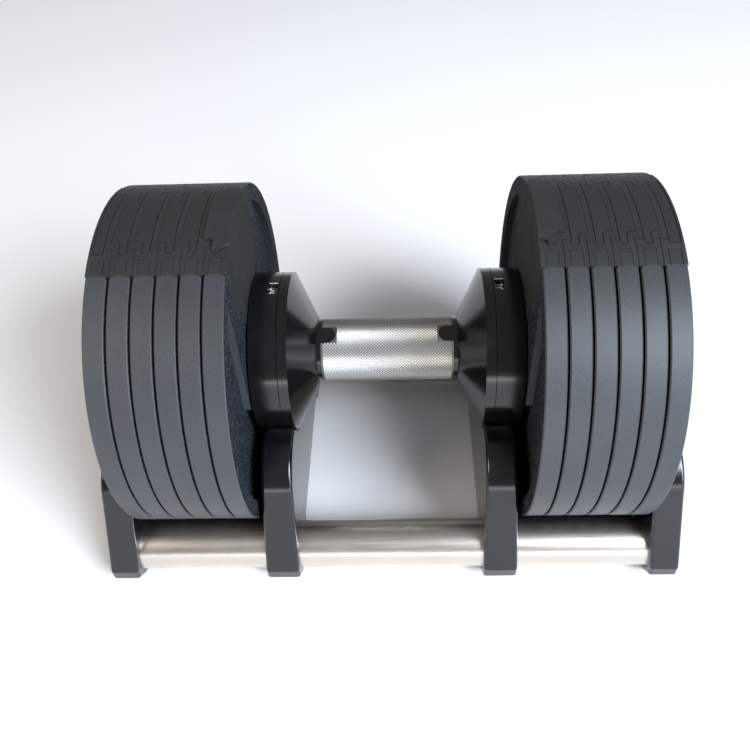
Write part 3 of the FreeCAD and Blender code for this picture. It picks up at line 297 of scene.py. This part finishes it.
# %% Materials for dials and cradle
def black_abs(name, dark, light, roughness, ripple_mm, ripple_depth):
    """Moulded black ABS; ripple_mm is the span of its soft waves, ripple_depth their depth in mm."""
    material, tree, shader, place = blank_material(name)
    wave = add(tree, "ShaderNodeTexNoise", {"Scale": per_metre(ripple_mm), "Detail": 1.0},
               {"Vector": place})
    dust = add(tree, "ShaderNodeTexNoise", {"Scale": per_metre(0.8), "Detail": 2.0},
               {"Vector": place})
    shade = add(tree, "ShaderNodeValToRGB", links={"Fac": wave.outputs["Fac"]})
    shade.color_ramp.elements[0].color = linear(dark)
    shade.color_ramp.elements[1].color = linear(light)
    tree.links.new(shade.outputs["Color"], shader.inputs["Base Color"])
    rub = add(tree, "ShaderNodeMapRange", {"To Min": roughness - 0.03, "To Max": roughness + 0.05},
              {"Value": dust.outputs["Fac"]})
    tree.links.new(rub.outputs["Result"], shader.inputs["Roughness"])
    soft = add(tree, "ShaderNodeBump", {"Strength": 0.5, "Distance": ripple_depth * MM},
               {"Height": wave.outputs["Fac"]})
    peel = add(tree, "ShaderNodeBump", {"Strength": 0.15, "Distance": 0.02 * MM},
               {"Height": dust.outputs["Fac"], "Normal": soft.outputs["Normal"]})
    tree.links.new(peel.outputs["Normal"], shader.inputs["Normal"])
    shader.inputs["IOR"].default_value = 1.54
    print(name, "ripples", ripple_mm, "mm apart")
    return material


gloss_black = black_abs("polished_black_abs", "#090909", "#100f0f", 0.16, 14, 0.1)
cradle_black = black_abs("moulded_black_abs", "#0b0b0d", "#121216", 0.17, 9, 0.08)

# %% [markdown]
# ## Metals
# A metal has no colour under its shine: its base colour is the colour of its reflections and its
# IOR stays as it is. What tells metals apart is how they were worked. The tubes are polished
# stainless, drawn through a felt wheel, so their scratches run lengthwise. Rods and pins are
# turned, with rings round X.

# %% Materials for metals
def worked_metal(name, colour, tint, roughness, stretch, line_mm, line_depth):
    """Worked bare metal: stretch squeezes the scratches along X, Y and Z."""
    material, tree, shader, place = blank_material(name)
    squeeze = add(tree, "ShaderNodeMapping", {"Scale": stretch}, {"Vector": place})
    lines = add(tree, "ShaderNodeTexNoise", {"Scale": per_metre(line_mm), "Detail": 3.0},
                {"Vector": squeeze.outputs["Vector"]})
    cloud = add(tree, "ShaderNodeTexNoise", {"Scale": per_metre(18), "Detail": 2.0},
                {"Vector": place})
    mix = add(tree, "ShaderNodeMix", {"data_type": "RGBA", 6: linear(colour), 7: linear(tint)},
              {0: cloud.outputs["Fac"]})
    tree.links.new(mix.outputs[2], shader.inputs["Base Color"])
    spread = add(tree, "ShaderNodeMapRange", {"To Min": roughness * 0.7, "To Max": roughness * 1.4},
                 {"Value": lines.outputs["Fac"]})
    tree.links.new(spread.outputs["Result"], shader.inputs["Roughness"])
    scratch = add(tree, "ShaderNodeBump", {"Strength": 0.4, "Distance": line_depth * MM},
                  {"Height": lines.outputs["Fac"]})
    tree.links.new(scratch.outputs["Normal"], shader.inputs["Normal"])
    shader.inputs["Metallic"].default_value = 1.0
    print(name, "roughness about", roughness)
    return material


EVEN = (1, 1, 1)
LENGTHWISE = (0.02, 1, 1)
ROUND_X = (1, 0.05, 0.05)
polished_tube = worked_metal("polished_stainless", "#d3cbc2", "#c6beb5", 0.3, LENGTHWISE, 0.5,
                             0.015)
plain_steel = worked_metal("turned_steel", "#b9babc", "#a9aaad", 0.26, ROUND_X, 0.4, 0.02)
zinc_screw = worked_metal("dark_zinc", "#7c7f84", "#6a6d73", 0.34, EVEN, 0.8, 0.02)

# %% [markdown]
# The grip's plating is bright only where hands and cloths reach it. The bottoms of the knurl are
# darker, partly for a dark film they hold and partly as painted shade, so the colour follows the
# distance from the sleeve's own axis.

# %% Material for the knurled sleeve
AXIS_Z = sum(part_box("grip_sleeve")[side][2] for side in (0, 1)) / 2
GROOVE_RADIUS, CREST_RADIUS = 20.1 * MM, 20.6 * MM
knurled_steel, tree, shader, place = blank_material("knurled_nickel_plate")
centred = add(tree, "ShaderNodeMapping", {"Location": (0, 0, -AXIS_Z), "Scale": (0, 1, 1)},
              {"Vector": place})
from_axis = add(tree, "ShaderNodeVectorMath", {"operation": "LENGTH"},
                {0: centred.outputs["Vector"]})
crest = add(tree, "ShaderNodeMapRange", {"From Min": GROOVE_RADIUS, "From Max": CREST_RADIUS},
            {"Value": from_axis.outputs["Value"]})
wear = add(tree, "ShaderNodeTexNoise", {"Scale": per_metre(7), "Detail": 3.0}, {"Vector": place})
bright = add(tree, "ShaderNodeMix", {"data_type": "RGBA", 6: linear("#f0eeea"),
                                     7: linear("#dcd8d2")}, {0: wear.outputs["Fac"]})
# dark film and painted shade: the knurl's grooves are darker than its crests
plate = add(tree, "ShaderNodeMix", {"data_type": "RGBA", 6: linear("#4d4a46")},
            {0: crest.outputs["Result"], 7: bright.outputs[2]})
tree.links.new(plate.outputs[2], shader.inputs["Base Color"])
satin = add(tree, "ShaderNodeMapRange", {"To Min": 0.5, "To Max": 0.3},
            {"Value": crest.outputs["Result"]})
tree.links.new(satin.outputs["Result"], shader.inputs["Roughness"])
shader.inputs["Metallic"].default_value = 1.0
print("knurl material: grooves at", GROOVE_RADIUS, "crests at", CREST_RADIUS)

# %% [markdown]
# ## Print and rubber
# The scale is white pad print on a black ring: flat ink with a slightly uneven edge of gloss.
# The feet are matt rubber, with a fine fabric-like grain from the mould.

# %% Materials for print and rubber
def flat_finish(name, colour, tint, roughness, grain_mm, depth):
    """A matt finish with a fine grain."""
    material, tree, shader, place = blank_material(name)
    grain = add(tree, "ShaderNodeTexNoise", {"Scale": per_metre(grain_mm), "Detail": 2.0},
                {"Vector": place})
    mix = add(tree, "ShaderNodeMix", {"data_type": "RGBA", 6: linear(colour), 7: linear(tint)},
              {0: grain.outputs["Fac"]})
    tree.links.new(mix.outputs[2], shader.inputs["Base Color"])
    spread = add(tree, "ShaderNodeMapRange",
                 {"To Min": roughness - 0.05, "To Max": roughness + 0.05},
                 {"Value": grain.outputs["Fac"]})
    tree.links.new(spread.outputs["Result"], shader.inputs["Roughness"])
    bump = add(tree, "ShaderNodeBump", {"Strength": 0.4, "Distance": depth * MM},
               {"Height": grain.outputs["Fac"]})
    tree.links.new(bump.outputs["Normal"], shader.inputs["Normal"])
    return material


white_print = flat_finish("white_pad_print", "#f4f4f2", "#e9e9e6", 0.4, 0.4, 0.01)
ring_black = flat_finish("black_scale_ring", "#0a0a0b", "#101012", 0.45, 0.5, 0.02)
foot_rubber = flat_finish("matt_rubber", "#141414", "#1c1c1c", 0.85, 0.7, 0.05)
FINISHES = {"cast_coat": cast_coat, "moulded_rail": rail_nylon, "gloss_black": gloss_black,
            "cradle_black": cradle_black, "polished_tube": polished_tube,
            "knurled_steel": knurled_steel, "plain_steel": plain_steel, "zinc_screw": zinc_screw,
            "white_print": ring_black, "foot_rubber": foot_rubber}
print(len(FINISHES), "finishes")

# %% [markdown]
# ## Dressing the frame
# Every CAD node gets the material of its slot. The plates and dials already have their edges
# broken in CAD, and they are shown as they are. The other mouldings and the tubes have
# knife-sharp edges, which no moulding has. A copy of each is merged, its flat faces are joined
# again, and a bevel of 0.3 mm catches the light along every edge.

# %% Materials on the CAD nodes
SLOT_OF = {part["node"]: part["material_slot"] for part in frame["record"]["subparts"]}
BODY_OF = {node: body for body, nodes in frame["record"]["behaviour"]["bodies"].items()
           for node in nodes}
for name, node in frame["nodes"].items():
    node.data.materials.clear()
    node.data.materials.append(FINISHES[SLOT_OF[name]])
print("dressed", len(SLOT_OF), "nodes")

# %% Softened copies
MERGE_DISTANCE = 0.002 * MM
FLAT_WITHIN = math.radians(0.4)
EDGE_WIDTH = 0.3 * MM
EDGE_SEGMENTS = 2
EDGE_SHARPER_THAN = math.radians(32)
FLAT_FACE_WEIGHT = 80


def merged_copy(name, piece_name):
    """The node's mesh as one smooth skin with its flat faces joined."""
    mesh = bpy.data.meshes.new(piece_name)
    shell = bmesh.new()
    shell.from_mesh(frame["nodes"][name].data)
    bmesh.ops.remove_doubles(shell, verts=shell.verts, dist=MERGE_DISTANCE)
    bmesh.ops.dissolve_degenerate(shell, edges=shell.edges, dist=MERGE_DISTANCE)
    bmesh.ops.dissolve_limit(shell, angle_limit=FLAT_WITHIN, verts=shell.verts,
                             edges=shell.edges)
    for face in shell.faces:
        face.smooth = True
    shell.to_mesh(mesh)
    shell.free()
    mesh.materials.clear()
    mesh.materials.append(FINISHES[SLOT_OF[name]])
    return mesh


def soften(name):
    """Shows a bevelled copy in place of a CAD node."""
    piece = bpy.data.objects.new(f"soft_{name}", merged_copy(name, f"soft_{name}"))
    bpy.context.scene.collection.objects.link(piece)
    bevel = piece.modifiers.new("edge", "BEVEL")
    bevel.width = EDGE_WIDTH
    bevel.segments = EDGE_SEGMENTS
    bevel.limit_method = "ANGLE"
    bevel.angle_limit = EDGE_SHARPER_THAN
    bevel.use_clamp_overlap = True
    bevel.miter_outer = "MITER_ARC"
    even = piece.modifiers.new("even", "WEIGHTED_NORMAL")
    even.mode = "FACE_AREA_WITH_ANGLE"
    even.weight = FLAT_FACE_WEIGHT
    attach(piece, BODY_OF[name])
    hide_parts(name)
    return piece


SOFTENED_SLOTS = ("moulded_rail", "gloss_black", "cradle_black", "polished_tube")
SHOWN_AS_THEY_ARE = ("dial_left", "dial_right")
softened = [soften(name) for name, slot in SLOT_OF.items()
            if slot in SOFTENED_SLOTS and name not in SHOWN_AS_THEY_ARE]
print("softened", len(softened), "pieces")

# %% [markdown]
# ## The knurl
# A knurling wheel rolls two crossing sets of grooves into the sleeve, which leaves rows of small
# four-sided points. Geometry Nodes lay a grid of pyramids round the sleeve, every second row
# half a step along, so their bases touch. The end of the sleeve stays plain for the dials' dogs.

# %% Knurl as a node tree
low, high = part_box("grip_sleeve")
GRIP_RADIUS = (high[2] - low[2]) / 2
GRIP_HALF = (high[0] - low[0]) / 2
NOTCH_DEPTH = 9.5 * MM
NOTCH_WIDTH = 11.6 * MM
NOTCH_ANGLE = math.radians(16)


def new_tree(name, inputs):
    """A geometry tree with named length or count inputs and one geometry output."""
    tree = bpy.data.node_groups.new(name, "GeometryNodeTree")
    for label, kind, value in inputs:
        socket = tree.interface.new_socket(label, in_out="INPUT", socket_type=kind)
        if value is not None:
            socket.default_value = value
    tree.interface.new_socket("Geometry", in_out="OUTPUT", socket_type="NodeSocketGeometry")
    return tree, add(tree, "NodeGroupInput"), add(tree, "NodeGroupOutput")


def plain_mesh(source, tree, values, piece_name):
    """Runs a tree on a seed object and returns its result as an ordinary object."""
    seed = bpy.data.objects.new(f"{piece_name}_seed", source)
    bpy.context.scene.collection.objects.link(seed)
    maker = seed.modifiers.new("maker", "NODES")
    maker.node_group = tree
    for item in tree.interface.items_tree:
        if item.in_out == "INPUT" and item.name in values:
            maker[item.identifier] = values[item.name]
    graph = bpy.context.evaluated_depsgraph_get()
    mesh = bpy.data.meshes.new_from_object(seed.evaluated_get(graph), depsgraph=graph)
    seed.modifiers.remove(maker)
    bpy.data.objects.remove(seed)
    mesh.name = piece_name
    while None in mesh.materials[:]:
        mesh.materials.pop(index=mesh.materials[:].index(None))
    piece = bpy.data.objects.new(piece_name, mesh)
    bpy.context.scene.collection.objects.link(piece)
    return piece


# %% [markdown]
# The seed is one pyramid's place for each point of the knurl, laid out as plain points. The tree
# stands a pyramid on each point, turned to look outwards, and joins them all into one mesh.

# %% Places of the knurl's points
KNURL_STEP = 2.0 * MM
KNURL_HEIGHT = 0.5 * MM
PLAIN_END = 0.8 * MM
AROUND = round(2 * math.pi * GRIP_RADIUS / KNURL_STEP)
ROWS = int(2 * (GRIP_HALF - PLAIN_END) / KNURL_STEP)


def in_notch(x, angle):
    """True over one of the two notches at each end of the sleeve."""
    if abs(x) < GRIP_HALF - NOTCH_DEPTH - KNURL_STEP * 0.3:
        return False
    for centre in (NOTCH_ANGLE, NOTCH_ANGLE + math.pi):
        away = (angle - centre + math.pi) % (2 * math.pi) - math.pi
        if abs(away) * GRIP_RADIUS < NOTCH_WIDTH / 2 + KNURL_STEP * 0.25:
            return True
    return False


spots = []
for row in range(-ROWS, ROWS + 1):
    x = row * KNURL_STEP / 2
    for column in range(AROUND):
        angle = 2 * math.pi * (column + (row % 2) / 2) / AROUND
        if not in_notch(x, angle):
            spots.append((x, -math.sin(angle) * GRIP_RADIUS,
                          AXIS_Z + math.cos(angle) * GRIP_RADIUS))
knurl_points = bpy.data.meshes.new("knurl_points")
knurl_points.from_pydata(spots, [], [])
print("knurl:", AROUND, "points round,", len(spots), "in all")

# %% Pyramids on the points
tree, given, result = new_tree("knurl", [
    ("Geometry", "NodeSocketGeometry", None), ("Step", "NodeSocketFloat", 0.0013),
    ("Height", "NodeSocketFloat", 0.0004), ("Axis Height", "NodeSocketFloat", 0.1)])
reach = add(tree, "ShaderNodeMath", {"operation": "MULTIPLY", 1: 0.5}, {0: given.outputs["Step"]})
peak = add(tree, "GeometryNodeMeshCone", {"Vertices": 4, "Radius Top": 0.0, "fill_type": "NONE"},
           {"Radius Bottom": reach.outputs[0], "Depth": given.outputs["Height"]})
where = add(tree, "GeometryNodeInputPosition")
axis = add(tree, "ShaderNodeCombineXYZ", links={"Z": given.outputs["Axis Height"]})
off_axis = add(tree, "ShaderNodeVectorMath", {"operation": "SUBTRACT"},
               {0: where.outputs["Position"], 1: axis.outputs["Vector"]})
outward = add(tree, "ShaderNodeVectorMath", {"operation": "MULTIPLY", 1: (0, 1, 1)},
              {0: off_axis.outputs["Vector"]})
stand = add(tree, "FunctionNodeAlignRotationToVector", {"axis": "Z", "pivot_axis": "X"},
            {"Vector": outward.outputs["Vector"]})
many = add(tree, "GeometryNodeInstanceOnPoints", links={
    "Points": given.outputs["Geometry"], "Instance": peak.outputs["Mesh"],
    "Rotation": stand.outputs["Rotation"]})
real = add(tree, "GeometryNodeRealizeInstances", links={"Geometry": many.outputs["Instances"]})
dressed = add(tree, "GeometryNodeSetMaterial", {"Material": knurled_steel},
              {"Geometry": real.outputs["Geometry"]})
tree.links.new(dressed.outputs["Geometry"], result.inputs["Geometry"])
knurl = plain_mesh(knurl_points, tree, {"Step": KNURL_STEP, "Height": KNURL_HEIGHT,
                                        "Axis Height": AXIS_Z}, "grip_knurl")
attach(knurl, "grip")
for facet in knurl.data.polygons:
    facet.use_smooth = False
print("knurl:", len(knurl.data.polygons), "facets")

# %% [markdown]
# ## The scale
# Seven settings, 2 to 20 by threes, are printed round each number ring, 45 degrees apart, so
# an eighth of a turn of the grip brings the next one to the window. Each number is made as
# text, turned to a mesh and wrapped round the ring. The left scale reads towards the back and
# the right scale towards the front, so both read upright from their own end.

# %% Numbers on the rings
SETTINGS = (20, 17, 14, 11, 8, 5, 2)
SETTING_STEP = math.pi / 4
DIGIT_HEIGHT = 5.4 * MM
CAPITAL_SHARE = 0.7
STROKE_GAIN = 0.12 * MM
INK_LIFT = 0.05 * MM
LONGEST_EDGE = 1.5 * MM
WINDOW_ANGLE = math.radians(-3.6)
READING_STRETCH = 1.2


def number_mesh(text):
    """Flat lettering centred on the origin, DIGIT_HEIGHT tall."""
    curve = bpy.data.curves.new("lettering", "FONT")
    curve.body = text
    curve.size = DIGIT_HEIGHT / CAPITAL_SHARE
    curve.align_x, curve.align_y = "CENTER", "CENTER"
    curve.offset = STROKE_GAIN
    holder = bpy.data.objects.new("lettering", curve)
    bpy.context.scene.collection.objects.link(holder)
    graph = bpy.context.evaluated_depsgraph_get()
    mesh = bpy.data.meshes.new_from_object(holder.evaluated_get(graph), depsgraph=graph)
    bpy.data.objects.remove(holder)
    return mesh


def print_scale(side):
    """All the numbers of one ring as one piece of thin ink; side is -1 on the left."""
    label = "left" if side < 0 else "right"
    ring_low, ring_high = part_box(f"number_ring_{label}")
    radius = (ring_high[2] - ring_low[2]) / 2 + INK_LIFT
    middle = (ring_low[0] + ring_high[0]) / 2 - side * 0.3 * MM
    ink = bmesh.new()
    for step, setting in enumerate(SETTINGS):
        letters = bmesh.new()
        letters.from_mesh(number_mesh(str(setting)))
        long_edges = [edge for edge in letters.edges if edge.calc_length() > LONGEST_EDGE]
        bmesh.ops.subdivide_edges(letters, edges=long_edges, cuts=3)
        bmesh.ops.triangulate(letters, faces=letters.faces)
        for vert in letters.verts:
            reading, tall = vert.co.x * READING_STRETCH, vert.co.y
            forward = WINDOW_ANGLE - step * SETTING_STEP + side * reading / radius
            vert.co = Vector((middle + side * tall, -math.sin(forward) * radius,
                              AXIS_Z + math.cos(forward) * radius))
        flat = bpy.data.meshes.new("letters")
        letters.to_mesh(flat)
        letters.free()
        ink.from_mesh(flat)
        bpy.data.meshes.remove(flat)
    for face in ink.faces:
        face.normal_update()
        away = face.calc_center_median() - Vector((middle, 0, AXIS_Z))
        if face.normal.dot(Vector((0, away.y, away.z))) < 0:
            face.normal_flip()
    mesh = bpy.data.meshes.new(f"scale_print_{label}")
    ink.to_mesh(mesh)
    ink.free()
    mesh.materials.append(white_print)
    piece = bpy.data.objects.new(f"scale_print_{label}", mesh)
    bpy.context.scene.collection.objects.link(piece)
    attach(piece, "grip")
    return piece


scales = [print_scale(side) for side in (-1, 1)]
print("scales:", [len(scale.data.polygons) for scale in scales], "facets")

# %% [markdown]
# A short white tick on each housing, just behind the window, says which number counts.

# %% Ticks
TICK_ANGLE = math.radians(-8.8)
TICK_HALF_ANGLE = 0.008
TICK_START, TICK_LENGTH = 67.6 * MM, 5.4 * MM
TICK_LIFT = 0.04 * MM


def tick_mark(side):
    """A curved bar of ink on the housing."""
    label = "left" if side < 0 else "right"
    body_low, body_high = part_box(f"end_housing_{label}")
    radius = (body_high[2] - body_low[2]) / 2 + TICK_LIFT
    corners = []
    for angle in (TICK_ANGLE - TICK_HALF_ANGLE, TICK_ANGLE + TICK_HALF_ANGLE):
        for x in (TICK_START, TICK_START + TICK_LENGTH):
            corners.append((side * x, -math.sin(angle) * radius, AXIS_Z + math.cos(angle) * radius))
    order = (0, 1, 3, 2) if side < 0 else (0, 2, 3, 1)
    mesh = bpy.data.meshes.new(f"tick_{label}")
    mesh.from_pydata(corners, [], [order])
    mesh.materials.append(white_print)
    piece = bpy.data.objects.new(f"tick_{label}", mesh)
    bpy.context.scene.collection.objects.link(piece)
    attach(piece, "handle")
    return piece


ticks = [tick_mark(side) for side in (-1, 1)]
print("ticks:", len(ticks))

# %% [markdown]
# ## Screw heads
# Four socket head screws hold the tubes in the outer brackets. Their heads are repeated, so a
# small tree makes one: a disc with a sloping rim, less a six-sided socket.

# %% Socket heads by nodes
screw_low, screw_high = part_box("tube_screws")
HEAD_RADIUS, HEAD_HEIGHT = 6 * MM, 3 * MM
tree, given, result = new_tree("socket_heads", [
    ("Geometry", "NodeSocketGeometry", None), ("Radius", "NodeSocketFloat", 0.006),
    ("Height", "NodeSocketFloat", 0.003)])
crown_radius = add(tree, "ShaderNodeMath", {"operation": "MULTIPLY", 1: 0.86},
                   {0: given.outputs["Radius"]})
disc = add(tree, "GeometryNodeMeshCone", {"Vertices": 48}, {
    "Radius Top": crown_radius.outputs[0], "Radius Bottom": given.outputs["Radius"],
    "Depth": given.outputs["Height"]})
hex_radius = add(tree, "ShaderNodeMath", {"operation": "MULTIPLY", 1: 0.42},
                 {0: given.outputs["Radius"]})
hex_bar = add(tree, "GeometryNodeMeshCylinder", {"Vertices": 6},
              {"Radius": hex_radius.outputs[0], "Depth": given.outputs["Height"]})
lift = add(tree, "ShaderNodeCombineXYZ", links={"Z": given.outputs["Height"]})
raised = add(tree, "GeometryNodeTransform",
             links={"Geometry": hex_bar.outputs["Mesh"], "Translation": lift.outputs["Vector"]})
head = add(tree, "GeometryNodeMeshBoolean", {"operation": "DIFFERENCE"}, {
    "Mesh 1": disc.outputs["Mesh"], "Mesh 2": raised.outputs["Geometry"]})
spot = add(tree, "GeometryNodeInputPosition")
sideways = add(tree, "ShaderNodeVectorMath", {"operation": "MULTIPLY", 1: (1, 0, 0)},
               {0: spot.outputs["Position"]})
outwards = add(tree, "FunctionNodeAlignRotationToVector", {"axis": "Z"},
               {"Vector": sideways.outputs["Vector"]})
four = add(tree, "GeometryNodeInstanceOnPoints", links={
    "Points": given.outputs["Geometry"], "Instance": head.outputs["Mesh"],
    "Rotation": outwards.outputs["Rotation"]})
solid = add(tree, "GeometryNodeRealizeInstances", links={"Geometry": four.outputs["Instances"]})
finished = add(tree, "GeometryNodeSetMaterial", {"Material": zinc_screw},
               {"Geometry": solid.outputs["Geometry"]})
tree.links.new(finished.outputs["Geometry"], result.inputs["Geometry"])
head_x = screw_high[0] - HEAD_HEIGHT
head_y = screw_high[1] - HEAD_RADIUS
head_z = (screw_low[2] + screw_high[2]) / 2
seats = bpy.data.meshes.new("screw_seats")
seats.from_pydata([(x, y, head_z) for x in (-head_x, head_x) for y in (-head_y, head_y)], [], [])
heads = plain_mesh(seats, tree, {"Radius": HEAD_RADIUS, "Height": HEAD_HEIGHT}, "tube_screw_heads")
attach(heads, "cradle")
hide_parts("tube_screws")
print("screw heads:", len(heads.data.polygons), "facets")
